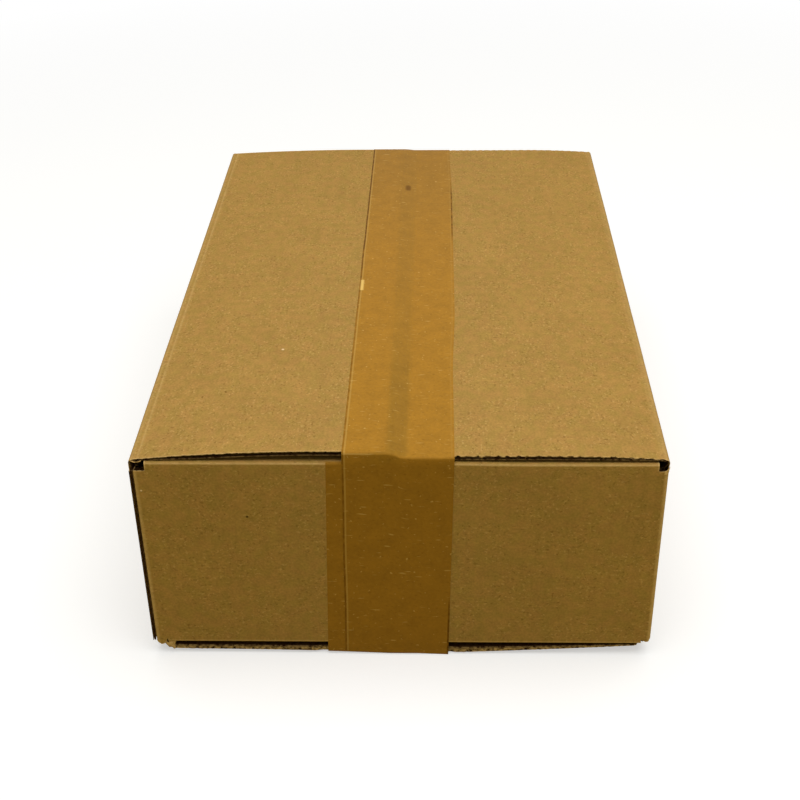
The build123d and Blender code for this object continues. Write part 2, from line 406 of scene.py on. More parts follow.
    def hem(self, x, y):
        """How far the lower corner of a wall reaches below the ends of its slots."""
        if y > -HALF_LENGTH + self.HEM_REACH:
            return 0
        if x > 0:
            return self.RIGHT_HEM
        steps = (down * smooth(start * MM, end * MM, x) for start, end, down in self.HEM_STEPS)
        return self.LEFT_HEM + sum(steps) * MM

    def fold_up(self, column, row, depth_at, sunk):
        """Place of a point of the sheet, with its face sunk this far."""
        across = column.across
        wall_thick = self.wall_thickness(column.panel, across)
        if row.part == "wall" or column.flap is None:
            height = self.wall_top if row.up > 0 else self.wall_bottom
            height = row.value if row.part == "wall" else height
            x, y = self.ring(column, depth_at(wall_thick) + sunk)
            if column.flap is None and column.panel != "tab":
                hem = self.hem(*self.ring(column, 0))
                height -= hem * smooth(self.HEM_RUN, 0, height - self.wall_bottom)
            return x, y, height
        flap = self.flap(column.flap, row.up, across)
        inward = row.value if row.part == "flap" else 0
        thick = self.flap_thickness(column.flap, flap, across, inward)
        if row.part == "neck":
            thick = between(wall_thick, thick, row.value)
        depth = depth_at(thick) + sunk
        if row.part == "flap":
            across -= column.edge * self.tear(column, row, depth_at(thick) < thick / 2)
        if row.up < 0:
            across = self.trimmed(column.flap, across, inward)
        inward, height = self.section(flap, row, depth)
        x, y = self.place(column.flap, across, inward)
        if row.part == "neck":
            wall_x, wall_y = self.ring(column, depth)
            x, y = between(wall_x, x, row.value), between(wall_y, y, row.value)
        return x, y, flap.fold + flap.up * height

    def point(self, column, row, depth_at):
        """Place of a point of a layer. depth_at gives its depth where the board is this thick."""
        plain = self.fold_up(column, row, lambda thick: 0, 0)
        return self.fold_up(column, row, depth_at, self.sink(*plain))

    def level(self, x, y):
        """Height of the closed top at a place in plan, bridged smoothly over the seam."""
        heights = []
        for panel in ("left", "right"):
            flap = self.flap(panel, 1, y)
            inward = min(self.flap_length, HALF_WIDTH - SIDE_OF[panel] * x)
            heights.append(flap.fold + flap.bow(inward))
        half_seam = self.sizes.seam_gap / 2
        return between(*heights, smooth(-half_seam, half_seam, x))

    def at_slot(self, column, row):
        """Whether a place lies on the end of a slot."""
        wall_end = row.part == "wall" and row.value in (self.wall_top, self.wall_bottom)
        return wall_end and column.flap is None

    def worn(self, column, row):
        """Scuffs and painted highlight: creases, lips, slot edges and corners are the palest."""
        if self.at_slot(column, row):
            return 0.9
        if row.part == "wall":
            if column.corner is None:
                # painted highlight along the glued edge's tight bend
                from_joint = column.across + HALF_WIDTH
                glued = column.panel == "front" and from_joint < self.GLUED_EDGE
                return 0.6 if glued else 0
            turned = abs(degrees(column.corner[2]) % 90 - 45) / 45
            return 0.9 * (1 - turned)
        # painted highlight along the cut lips of the flaps
        if column.edge:
            return 1 if row.up > 0 else 0.4
        # painted highlight along the short flaps' folds, top and bottom, where the long flaps shade
        # them
        if row.part == "fold" and column.flap in ("front", "back"):
            if row.up > 0:
                return 0.7 * max(0, 1 - abs(row.value - 0.3) / 0.3)
            return 0.6 * (1 - smooth(0.4, 0.9, row.value))
        # painted highlight on the long flaps' folds
        if row.part == "fold":
            return 0.2
        if row.part == "flap" and row.up > 0 and column.flap in self.SCORE:
            score, scuffed = self.SCORE[column.flap]
            return scuffed * max(0, 1 - abs(row.value - score) / self.SCORE_SIDE)
        return 0

    def flap_span(self, panel, recess):
        """Where a panel's flaps start and end along it, this far inside their cut ends."""
        if panel in ("left", "right"):
            return -self.flap_end + recess, self.flap_end - recess
        slot = self.sizes.joint_slot if panel == "front" else self.sizes.corner_slot
        return -HALF_WIDTH + slot + recess, HALF_WIDTH - self.sizes.corner_slot - recess

    def columns(self, step, recess=0, reach=None):
        """Columns from the glue tab round the four panels to the left panel's cut edge.

        With a recess, the layer stands back from the cut edges. With a reach, its columns stay
        this near to the ends of the panels.
        """
        radius = self.sizes.corner_radius
        x_end, y_end = HALF_WIDTH - radius, HALF_LENGTH - radius
        tab_end = -HALF_LENGTH + self.GLUE_TAB
        tab_start = -HALF_LENGTH + self.TAB_RADIUS
        cut = degrees(asin((self.flap_end - recess - y_end) / radius))
        turns = (0, cut / 2, cut, between(cut, 90, 0.33), between(cut, 90, 0.67), 90)

        def straight(panel, start, end, extra=()):
            low, high = self.flap_span(panel, recess)
            kept = [low, high, low + self.END_LIP, high - self.END_LIP, *extra]
            kept = [p for p in kept if min(start, end) < p < max(start, end)]
            if reach is None:
                places = spaced(start, end, step)
            else:
                away = reach if end > start else -reach
                places = spaced(start, start + away, step) + spaced(end - away, end, step)
            places = [p for p in places if all(abs(p - q) > step / 4 for q in kept)]
            ordered = sorted({*places, *kept, start, end}, reverse=end < start)
            return [(panel, across, None) for across in ordered]

        def corner(panel, side, end, angles):
            turned = [radians(angle) for angle in angles]
            return [
                (panel, end * y_end + radius * sin(a), (side, end, a, radius, HALF_WIDTH))
                for a in turned
            ]

        fold = [
            ("front", -self.tab_fold_x, (-1, -1, radians(a), self.TAB_RADIUS, self.tab_fold_x))
            for a in self.TAB_TURNS
        ]
        fold_end = -self.tab_fold_x + self.TAB_RADIUS
        # each run's last column is the next one's first
        runs = (
            [("tab", across, None) for across in spaced(tab_end, tab_start, self.TAB_STEP)],
            fold,
            straight("front", fold_end, x_end, self.HEM_COLUMNS),
            corner("right", 1, -1, [-a for a in reversed(turns)]),
            straight("right", -y_end, y_end),
            corner("right", 1, 1, turns),
            straight("back", x_end, -x_end),
            corner("left", -1, 1, [180 - a for a in reversed(turns)]),
            straight("left", y_end, -HALF_LENGTH + recess),
        )
        drawn = [place for run in runs[:-1] for place in run[:-1]] + runs[-1]
        found = []
        u = 0
        for panel, across, bend in drawn:
            flap, edge = None, 0
            if panel != "tab":
                low, high = self.flap_span(panel, recess)
                flap = panel if low - TINY <= across <= high + TINY else None
                edge = (abs(across - high) < TINY) - (abs(across - low) < TINY)
            column = Column(panel, across, bend, flap, edge, u)
            if found:
                here, last = Vector(self.ring(column, 0)), Vector(self.ring(found[-1], 0))
                u += (here - last).length
            found.append(column._replace(u=u))
        return found

    def rows(self, step, recess=0):
        """Rows from the free edges of the bottom flaps to those of the top flaps."""
        height = self.sizes.side_height
        edge = self.flap_length - recess
        low, top = self.wall_bottom, self.wall_top
        bend, top_bend = self.BENDS
        first, top_first = (place * MM for place in self.FIRST_ROWS)
        neck, top_neck = (place * MM for place in self.NECKS)
        found = [Row("flap", i, -i, -1) for i in spaced(edge, first, step)]
        found += [Row("fold", t, between(bend, -bend, t) * MM, -1) for t in reversed(self.TURNS)]
        found.append(Row("neck", 0.5, neck, -1))
        walls = spaced(low + self.SLOT_LIP, top - self.SLOT_LIP, self.WALL_STEP)
        for z in (low, *walls, top):
            up = 1 if z > (low + top) / 2 else -1
            found.append(Row("wall", z, z - self.sizes.bottom_fold, up))
        found.append(Row("neck", 0.5, height + top_neck, 1))
        bends = [between(-top_bend, top_bend, t) * MM for t in self.TURNS]
        found += [Row("fold", t, height + bent, 1) for t, bent in zip(self.TURNS, bends)]
        found += [Row("flap", i * MM, height + i * MM, 1) for i in self.SCORED]
        found += [Row("flap", i, height + i, 1) for i in spaced(top_first, edge, step)]
        return found


def grid(columns, rows):
    """A flat grid, and a function that gives the column and the row of each vertex of it."""
    mesh = bmesh.new()
    wide, high = len(columns) - 1, len(rows) - 1
    bmesh.ops.create_grid(mesh, x_segments=wide, y_segments=high, size=1)
    column_of = mesh.verts.layers.int.new("column")
    row_of = mesh.verts.layers.int.new("row")
    for vert in mesh.verts:
        vert[column_of] = round((vert.co.x + 1) / 2 * wide)
        vert[row_of] = round((vert.co.y + 1) / 2 * high)
    return mesh, lambda vert: (columns[vert[column_of]], rows[vert[row_of]])


def thicken(mesh, near, far):
    """Places the grid's vertices at near and a second skin of them at far. Returns the rim."""
    for vert in mesh.verts:
        vert.co = near(vert)
    made = set(bmesh.ops.extrude_face_region(mesh, geom=mesh.faces[:])["geom"])
    for vert in made:
        if isinstance(vert, bmesh.types.BMVert):
            vert.co = far(vert)
    bmesh.ops.recalc_face_normals(mesh, faces=mesh.faces[:])
    return [face for face in mesh.faces if 0 < len(made.intersection(face.verts)) < 4]


def paint(mesh, name, value_at):
    """A number on each vertex for the material to read."""
    layer = mesh.verts.layers.float.new(name)
    for vert in mesh.verts:
        vert[layer] = value_at(vert)


def unwrap(mesh, name, place_at):
    """A UV map in metres along the sheet or strip."""
    layer = mesh.loops.layers.uv.new(name)
    for face in mesh.faces:
        for loop in face.loops:
            loop[layer].uv = place_at(loop.vert)


def finish_piece(context, mesh, name, materials, node):
    """Turns a bmesh into a piece that rides on the parcel and stands for a CAD node."""
    data = bpy.data.meshes.new(name)
    mesh.to_mesh(data)
    mesh.free()
    for material in materials:
        data.materials.append(material)
    data.shade_smooth()
    data.set_sharp_from_angle(angle=SHARP_ANGLE)
    piece = bpy.data.objects.new(name, data)
    context.scene.collection.objects.link(piece)
    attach(piece, "root")
    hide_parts(node)


def board_layer(context, name, materials, columns, rows, depths, frayed, keep=None):
    """One layer of the board: the blank's grid with its slots cut, folded up at two depths.

    The faces of its rim take the last material, the dark paper in painted shade. They are frayed
    this much at the ends of the top flaps, of the bottom flaps and of the slots. Faces longer
    than keep are left out.
    """
    blank = Blank(context.scene.parcel_carton)
    mesh, spot = grid(columns, rows)

    def on_sheet(face):
        spots_of_face = [spot(vert) for vert in face.verts]
        ordered = sorted((column for column, row in spots_of_face), key=lambda column: column.u)
        first, last = ordered[0], ordered[-1]
        if keep and last.u - first.u > keep:
            return False
        if all(row.part == "wall" for column, row in spots_of_face):
            return True
        return first.flap is not None and first.flap == last.flap

    slots = [face for face in mesh.faces if not on_sheet(face)]
    bmesh.ops.delete(mesh, geom=slots, context="FACES")

    def folded(skin):
        def place(vert):
            column, row = spot(vert)
            return blank.point(column, row, lambda thick: depths(thick, column, row)[skin])

        return place

    for face in thicken(mesh, folded(0), folded(1)):
        face.material_index = len(materials) - 1

    def torn(vert):
        column, row = spot(vert)
        if column.edge:
            return frayed[row.up < 0]
        return frayed[2] if blank.at_slot(column, row) else FRAYED_ELSEWHERE

    paint(mesh, "worn", lambda vert: blank.worn(*spot(vert)))
    paint(mesh, "frayed", torn)
    unwrap(mesh, "Sheet", lambda vert: (spot(vert)[0].u, spot(vert)[1].v))
    finish_piece(context, mesh, name, materials, "carton")


def add(tree, kind, inputs=None, output=0, **settings):
    """Adds a shader node, links or sets its inputs, and returns one of its outputs."""
    made = tree.nodes.new("ShaderNode" + kind)
    for name, value in settings.items():
        setattr(made, name, value)
    for socket, value in (inputs or {}).items():
        if isinstance(value, bpy.types.NodeSocket):
            tree.links.new(value, made.inputs[socket])
        else:
            made.inputs[socket].default_value = value
    return made.outputs[output] if made.outputs else None


# a Mix node's colour sockets, which come after its number and vector sockets
FIRST, SECOND, MIXED = 6, 7, 2

# the numbers on a strip's points that its material reads
TAPE_MARKS = ("hollow", "pressed", "crest", "shine", "grimy")


def new_material(name):
    """An empty node material."""
    material = bpy.data.materials.new(name)
    material.use_nodes = True
    material.node_tree.nodes.clear()
    return material, material.node_tree


def mottled(tree, place, layers):
    """A number around 1: noises added up, each with its scale, detail and swing."""
    total = 1 - sum(swing for scale, detail, swing in layers) / 2
    for scale, detail, swing in layers:
        cloud = add(tree, "TexNoise", {"Vector": place, "Scale": scale, "Detail": detail})
        total = add(tree, "Math", {0: cloud, 1: swing, 2: total}, operation="MULTIPLY_ADD")
    return total


def flecks(tree, place, scale, seed, low, strength):
    """Scattered flecks, the peaks of a noise with this scale along each axis."""
    moved = {"Vector": place, "Location": (seed, seed, 0), "Scale": (*scale, 1)}
    drawn = add(tree, "Mapping", moved)
    peaks = add(tree, "TexNoise", {"Vector": drawn, "Scale": 1.0, "Detail": 1.0})
    picked = {"Value": peaks, "From Min": low, "From Max": low + 0.08, "To Max": strength}
    return add(tree, "MapRange", picked)


def laid_over(tree, base, layers):
    """A colour with others laid over it, each by the product of its shares."""
    for (share, *others), tone in layers:
        for other in others:
            share = add(tree, "Math", {0: share, 1: other}, operation="MULTIPLY", use_clamp=True)
        mix = {0: share, FIRST: base, SECOND: (*tone, 1)}
        base = add(tree, "Mix", mix, MIXED, data_type="RGBA")
    return base


def spots(tree, place, marks):
    """Layers for round marks, each with its place, radius and hex colour."""
    layers = []
    for middle, radius, hex_colour in marks:
        away = add(tree, "VectorMath", {0: place, 1: (*middle, 0)}, "Value", operation="DISTANCE")
        ends = {"From Min": radius / 3, "From Max": radius, "To Min": 0.9, "To Max": 0.0}
        spot = add(tree, "MapRange", {"Value": away, **ends})
        layers.append(((spot,), linear(hex_colour)))
    return layers


def lighting_ray(tree):
    """1 on rays that light the parcel, and 0 on those that the camera ends up seeing."""
    rays = add(tree, "LightPath").node.outputs
    seen = rays["Is Camera Ray"]
    for ray in ("Is Glossy Ray", "Is Transmission Ray"):
        seen = add(tree, "Math", {0: seen, 1: rays[ray]}, operation="MAXIMUM")
    return add(tree, "Math", {0: 1.0, 1: seen}, operation="SUBTRACT")


def kraft_paper(colours, marks=()):
    """Unbleached kraft liner, pressed and dried on a paper machine.

    The eye sees matt brown paper in soft golden and olive patches, with clusters of dark and pale
    flecks, paler paper where it is scuffed, and painted highlight along creases, folds and cut lips.
    """
    material, tree = new_material("Unbleached kraft liner")
    sheet = add(tree, "UVMap", uv_map="Sheet")
    # soft patches about 6 mm across
    patch = add(tree, "TexNoise", {"Vector": sheet, "Scale": 160.0, "Detail": 1.0})
    hue = add(tree, "MapRange", {"Value": patch, "From Min": 0.35, "From Max": 0.65})
    paper = laid_over(tree, (*colours.kraft, 1), [((hue,), colours.olive)])
    # clouds of 30 mm, patches of 5 mm and grain of 1 mm
    clouds = mottled(tree, sheet, ((35.0, 1.0, 0.17), (210.0, 1.0, 0.29), (900.0, 2.0, 0.62)))
    # the waves of the fluting show faintly as bands of painted shade, and as bumps
    along = add(tree, "SeparateXYZ", {"Vector": sheet})
    turn = add(tree, "Math", {0: along, 1: 2 * pi / FLUTE_PITCH}, operation="MULTIPLY")
    wave = add(tree, "Math", {0: turn}, operation="SINE")
    value = add(tree, "Math", {0: wave, 1: 0.012, 2: clouds}, operation="MULTIPLY_ADD")
    toned = add(tree, "HueSaturation", {"Color": paper, "Value": value})
    # flecks of 0.8 mm in clusters of 15 mm, and short fibres of 2 mm along the machine's direction
    cluster = flecks(tree, sheet, (70.0, 70.0), 5, 0.42, 1.0)
    dark = flecks(tree, sheet, (620.0, 700.0), 17, 0.6, 0.36)
    pale = flecks(tree, sheet, (620.0, 750.0), 29, 0.6, 0.36)
    fibre = flecks(tree, sheet, (260.0, 1300.0), 43, 0.6, 0.3)
    # scuffed paper and painted highlight on creases, folds and lips, broken up in bits of 2 mm
    worn = add(tree, "Attribute", output="Fac", attribute_name="worn")
    bits = mottled(tree, sheet, ((480.0, 2.0, 1.8),))
    layers = [
        ((dark, cluster), colours.bark),
        ((pale, cluster), colours.straw),
        ((fibre,), colours.olive),
        ((worn, bits), colours.scuff),
        *spots(tree, sheet, marks),
    ]
    finish = {
        "Base Color": laid_over(tree, toned, layers),
        "Roughness": 0.85,
        "IOR": 1.45,
        "Specular IOR Level": 0.1,
        "Normal": add(tree, "Bump", {"Height": value, "Strength": 1.0, "Distance": 0.05 * MM}),
    }
    add(tree, "OutputMaterial", {"Surface": add(tree, "BsdfPrincipled", finish)})
    return material


def shaded_fluting_paper(colours):
    """Recycled fluting medium, wet-pressed into waves and cut with a blunt knife.

    The eye sees soft, quite matt paper, near black with painted shade of the recesses between the
    facings and of the inside of the carton, with pale tufts where a cut edge is crushed.
    """
    material, tree = new_material("Recycled fluting medium")
    place = add(tree, "TexCoord", output="Object")
    # tufts about 1.7 mm across
    tuft = add(tree, "TexNoise", {"Vector": place, "Scale": 600.0, "Detail": 3.0})
    torn = add(tree, "MapRange", {"Value": tuft, "From Min": 0.35, "From Max": 0.62})
    frayed = add(tree, "Attribute", output="Fac", attribute_name="frayed")
    paper = laid_over(tree, (*colours.fluting, 1), [((torn, frayed), colours.scuff)])
    finish = {"Base Color": paper, "Roughness": 0.95, "Specular IOR Level": 0.0}
    add(tree, "OutputMaterial", {"Surface": add(tree, "BsdfPrincipled", finish)})
    return material


def packing_tape(colours, width, marks=()):
    """Brown polypropylene packing tape, a stretched film with a layer of adhesive.

    The eye sees a satin film that lets the board's patches through. It is painted darker on its
    upright tails and towards the back, and over gaps with the shade of the gap under it, with short
    bright crinkles across it as painted highlight. Its edges show a painted shadow line and a
    painted highlight line inside it.
    """
    material, tree = new_material("Brown polypropylene tape")
    strip = add(tree, "UVMap", uv_map="Strip")
    hollow, pressed, crest, shine, grimy = (
        add(tree, "Attribute", output="Fac", attribute_name=name) for name in TAPE_MARKS
    )
    # painted shade: of the gaps under the film, and deeper on the upright tails and towards the back
    painted_shades = [((hollow,), colours.seam), ((pressed,), colours.pressed)]
    # the board's patches of 8 mm and grain of 1.5 mm show through
    value = mottled(tree, strip, ((120.0, 1.0, 0.32), (600.0, 2.0, 0.34)))
    film = laid_over(tree, (*colours.tape, 1), painted_shades)
    film = add(tree, "HueSaturation", {"Color": film, "Value": value})
    # bright crinkles 6 mm long and 1.2 mm high across the strip, specks of 1.6 mm and dark stains
    crinkle = flecks(tree, strip, (150.0, 760.0), 3, 0.68, 0.42)
    speck = flecks(tree, strip, (560.0, 560.0), 31, 0.69, 0.5)
    stain = flecks(tree, strip, (500.0, 900.0), 53, 0.65, 0.3)
    # lines 0.8 mm wide along the edges: a painted shadow at the edge, broken up in bits of 4 mm, and
    # a painted highlight inside it
    along = add(tree, "SeparateXYZ", {"Vector": strip})
    side = add(tree, "Math", {0: along}, operation="ABSOLUTE")
    lines = ({0: side, 1: width / 2 - inside, 2: 0.4 * MM} for inside in (0.4 * MM, 1.2 * MM))
    edge, inner_line = (add(tree, "Math", line, operation="COMPARE") for line in lines)
    bits = mottled(tree, strip, ((260.0, 1.0, 2.4),))
    layers = [
        ((crinkle,), colours.sheen),
        ((speck,), colours.sheen),
        ((stain,), colours.stain_and_shadow),
        ((inner_line, shine), colours.sheen),
        ((crest,), colours.sheen),
        ((edge, grimy, bits), colours.stain_and_shadow),
        *spots(tree, strip, marks),
    ]
    finish = {
        "Base Color": laid_over(tree, film, layers),
        "Roughness": 0.45,
        "IOR": 1.49,
        "Specular IOR Level": 0.05,
        "Normal": add(tree, "Bump", {"Height": crinkle, "Strength": 0.6, "Distance": 0.05 * MM}),
    }
    add(tree, "OutputMaterial", {"Surface": add(tree, "BsdfPrincipled", finish)})
    return material


def studio_floor(colours):
    """Matt paper sweep, white to the camera and darker as it lights the parcel from below.

    Far from the parcel, where no shadow falls, the camera sees it evenly white.
    """
    material, tree = new_material("Matt white sweep")
    place = add(tree, "TexCoord", output="Object")
    away = add(tree, "VectorMath", {0: place}, "Value", operation="LENGTH")
    far = add(tree, "MapRange", {"Value": away, "From Min": 0.35, "From Max": 1.0})
    unseen = lighting_ray(tree)
    # its own light, at half strength near the parcel so that the shadow stays faint
    glow = add(tree, "MapRange", {"Value": far, "To Min": 0.5, "To Max": 1.0})
    layers = [((far,), (0, 0, 0)), ((unseen,), colours.bounce)]
    finish = {
        "Base Color": laid_over(tree, (*colours.floor, 1), layers),
        "Roughness": 1.0,
        "Specular IOR Level": 0.0,
        "Emission Color": (1, 1, 1, 1),
        "Emission Strength": add(tree, "MapRange", {"Value": unseen, "To Min": glow, "To Max": 0.0}),
    }
    add(tree, "OutputMaterial", {"Surface": add(tree, "BsdfPrincipled", finish)})
    return material


class PARCEL_OT_facings(bpy.types.Operator):
    """Fold up the two facings of the carton's board"""

    bl_idname = "parcel.facings"
    bl_label = "Board Facings"

    COLUMN_STEP, ROW_STEP = 12 * MM, 1.25 * MM
    OUTER_FRAYED, INNER_FRAYED = (0.95, 0.8, 0.8), (0.3, 0.5, 0.05)
    # marks on the front panel, from its middle and from the floor, and on the left top flap, in
    # plan, each with its radius and colour
    FRONT_MARKS = (
        (-113.0 * MM, 95.3 * MM, 0.6 * MM, "FFE4B4"),
        (-67.3 * MM, 81.1 * MM, 0.8 * MM, "2A1500"),
    )
    FLAP_MARKS = (
        (-58.1 * MM, -87.2 * MM, 0.9 * MM, "FFE4B4"),
        (-91.5 * MM, -128.8 * MM, 0.7 * MM, "6A4A14"),
        (-81.1 * MM, -125.2 * MM, 0.7 * MM, "6A4A14"),
    )

    def execute(self, context):
        sizes = context.scene.parcel_carton
        colours = context.scene.parcel_colours
        blank = Blank(sizes)
        columns, rows = blank.columns(self.COLUMN_STEP), blank.rows(self.ROW_STEP)
        front, left = (
            next(c for c in columns if c.panel == panel and c.corner is None)
            for panel in ("front", "left")
        )
        marks = [
            ((front.u + x - front.across, z - sizes.bottom_fold), radius, hex_colour)
            for x, z, radius, hex_colour in self.FRONT_MARKS
        ]
        marks += [
            ((left.u + left.across - y, sizes.side_height + HALF_WIDTH + x), radius, hex_colour)
            for x, y, radius, hex_colour in self.FLAP_MARKS
        ]
        # dark paper for the outer facing's cut edges and the whole inner facing: painted shade of
        # the recesses and of the inside of the carton
        paper_in_shade = shaded_fluting_paper(colours)

        def outer(thick, column, row):
            return 0, blank.facing(thick, column, row, blank.OUTER_BUNCHED)

        def inner(thick, column, row):
            return thick - blank.facing(thick, column, row, blank.INNER_BUNCHED), thick

        papers = (kraft_paper(colours, marks), paper_in_shade)
        board_layer(
            context, "outer_facing", papers, columns, rows, outer, self.OUTER_FRAYED
        )
        board_layer(
            context, "inner_facing", (paper_in_shade,), columns, rows, inner, self.INNER_FRAYED
        )
        return {"FINISHED"}


class PARCEL_OT_fluting(bpy.types.Operator):
    """Fold up the fluting between the facings, where the cut edges show it"""

    bl_idname = "parcel.fluting"
    bl_label = "Fluting"

    PAPER = 0.2 * MM
    RECESS = 0.5 * MM
    COLUMN_STEP, ROW_STEP = 0.7 * MM, 2.5 * MM
    # it is drawn this near to the ends of each panel, and faces longer than this span the rest
    REACH, LONGEST = 14 * MM, 3 * MM
    FRAYED = (0.1, 0.3, 0.05)
    # the waves drift by this share of their pitch over runs of this length
    DRIFT, DRIFT_RUN = 0.4, 30 * MM

    def execute(self, context):
        sizes = context.scene.parcel_carton
        blank = Blank(sizes)

        def wave(thick, column, row):
            outer = blank.facing(thick, column, row, blank.OUTER_BUNCHED)
            inner = blank.facing(thick, column, row, blank.INNER_BUNCHED)
            room = max(0, thick - outer - inner - self.PAPER)
            drift = self.DRIFT * ripple((row.v, column.u, 0), self.DRIFT_RUN, 80)
            swing = 0.5 + 0.5 * sin(2 * pi * (column.u / sizes.flute_pitch + drift))
            near = outer + room * swing
            return near, near + min(self.PAPER, thick / 6)

        board_layer(
            context, "fluting", (shaded_fluting_paper(context.scene.parcel_colours),),
            blank.columns(self.COLUMN_STEP, self.RECESS, self.REACH),
            blank.rows(self.ROW_STEP, self.RECESS), wave, self.FRAYED, self.LONGEST,
        )
        return {"FINISHED"}


Scrap = namedtuple("Scrap", "corners bulge sag thick scuffs")


class PARCEL_OT_scraps(bpy.types.Operator):
    """Add the crushed corner of a bottom flap and the torn paper at a slot"""

    bl_idname = "parcel.scraps"
    bl_label = "Torn Scraps"

    SIDES = 8
    CRUMPLE, CRUMPLE_RUN = 0.45 * MM, 1.3 * MM
    # how far they may come forward of the front panel, and how far they stay inside the right one
    FORWARD, INSIDE = 0.08 * MM, 0.05 * MM
    # in millimetres: corners in order round each scrap, how far it bulges forward, how far its
    # middle sags, how thick it is, and how pale it is at its lower and upper edge, from scuffing and
    # painted light
    SCRAPS = {
        "crushed_corner": Scrap(
            ((-110.4, -177.5, 3.5), (-107.6, -177.6, 2.8), (-106.8, -176.7, 6.9),
             (-113.6, -176.8, 7.4)),
            0.3, 0, 0.5, (0.15, 0.75),
        ),
        # paler than the torn paper itself: painted light, as it sits in the slot's shade
        "slot_shred": Scrap(
            ((113.8, -177.4, 104.6), (117.0, -177.6, 104.2), (117.4, -177.2, 108.2),
             (116.0, -177.2, 106.0)),
            0.1, 0, 0.15, (0.9, 1.0),
        ),
        "slot_sliver": Scrap(
            ((-116.6, -177.2, 110.9), (-111.2, -177.3, 110.9), (-111.2, -177.2, 111.2),
             (-116.6, -177.1, 111.2)),
            0.05, 1.1, 0.15, (0.3, 0.5),
        ),
    }

    def place(self, scrap, s, t, depth):
        """Place of a point of a scrap at these shares of its width and height."""
        corners = [Vector(corner) * MM for corner in scrap.corners]
        spot = corners[0].lerp(corners[1], s).lerp(corners[3].lerp(corners[2], s), t)
        crumple = [ripple(spot, self.CRUMPLE_RUN, seed) for seed in (60, 73, 85)]
        spot += self.CRUMPLE * Vector(crumple)
        spot.y += (depth - scrap.bulge * sin(pi * t) * sin(pi * s)) * MM
        spot.z -= scrap.sag * sin(pi * s) * MM
        spot.y = max(spot.y, -HALF_LENGTH - self.FORWARD + depth * MM)
        spot.x = min(spot.x, HALF_WIDTH - self.INSIDE)
        return spot

    def execute(self, context):
        kraft = kraft_paper(context.scene.parcel_colours)
        shares = spaced(0, 1, 1 / self.SIDES)
        for name, scrap in self.SCRAPS.items():
            mesh, spot = grid(shares, shares)
            near, far = (
                lambda vert, depth=depth: self.place(scrap, *spot(vert), depth)
                for depth in (0, scrap.thick)
            )
            thicken(mesh, near, far)
            paint(mesh, "worn", lambda vert: between(*scrap.scuffs, spot(vert)[1]))
            unwrap(mesh, "Sheet", lambda vert: (vert.co.x, vert.co.z))
            finish_piece(context, mesh, name, (kraft,), "carton")
        return {"FINISHED"}


# end is -1 on the front tail and its bend, 1 on those at the back and 0 between them
StripRow = namedtuple("StripRow", "end part value v")


def strip_rows(front_tail, back_tail, bend, step, tail_step):
    """Rows of a strip from the foot of its front tail, over the parcel, to that of the back one."""
    run = HALF_LENGTH - bend
    arc = bend * pi / 2

    def tail_rows(end, tail, step):
        bends = [i / 6 for i in range(1, 6)]
        rows = [StripRow(end, "bend", b, end * (run + arc * b)) for b in bends]
        shares = spaced(0, 1, step / tail)
        return rows + [StripRow(end, "tail", t, end * (run + arc + tail * t)) for t in shares]

    flat = [StripRow(0, "flat", y, y) for y in spaced(-run, run, step)]
    front = tail_rows(-1, front_tail, tail_step)
    return front[::-1] + flat + tail_rows(1, back_tail, 3 * MM)


def lay_strip(context, name, node, shares, rows, place, painted, marks=()):
    """A strip of tape: a grid of shares of its width by rows along it, one film thick."""
    tape = context.scene.parcel_tape
    mesh, spot = grid(shares, rows)
    thicken(mesh, lambda vert: place(*spot(vert), 0), lambda vert: place(*spot(vert), tape.film))
    for label, value_at in painted.items():
        paint(mesh, label, lambda vert: value_at(vert.co, spot(vert)[1]))
    unwrap(mesh, "Strip", lambda vert: (spot(vert)[0] * tape.width, spot(vert)[1].v))
    material = packing_tape(context.scene.parcel_colours, tape.width, marks)
    finish_piece(context, mesh, name, (material,), node)


